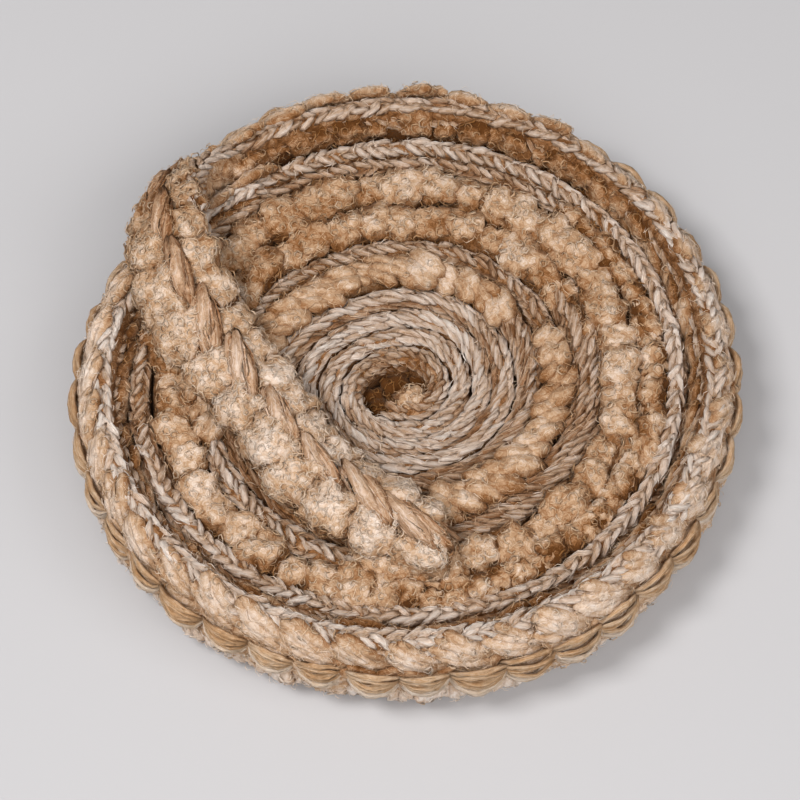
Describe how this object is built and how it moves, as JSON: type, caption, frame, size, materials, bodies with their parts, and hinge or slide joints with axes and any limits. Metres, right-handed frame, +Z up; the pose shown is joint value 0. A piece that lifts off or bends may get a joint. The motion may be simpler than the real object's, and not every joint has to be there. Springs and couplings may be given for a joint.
{
  "type": "boucle fringe trim roll",
  "caption": "Flat spiral roll of braided boucle fringe trim standing on its edge, with the outer turn raised as a rim and the loose end laid across the top.",
  "frame": {"origin": "on the surface that the roll rests on, under the middle of its bounding box", "axes": "+Z up out of the roll's dished top; -Y towards the side where the loose end's tip lies; +X to the right of that view"},
  "size_m": [0.1509, 0.1523, 0.0355],
  "materials": {
    "boucle_yarn_roll": "soft looped boucle yarn, cream twisted with tan and golden brown",
    "boucle_yarn_end": "soft looped boucle yarn, mostly cream"
  },
  "bodies": {
    "root": {"wound_roll": "boucle_yarn_roll", "loose_end": "boucle_yarn_end"}
  },
  "joints": []
}
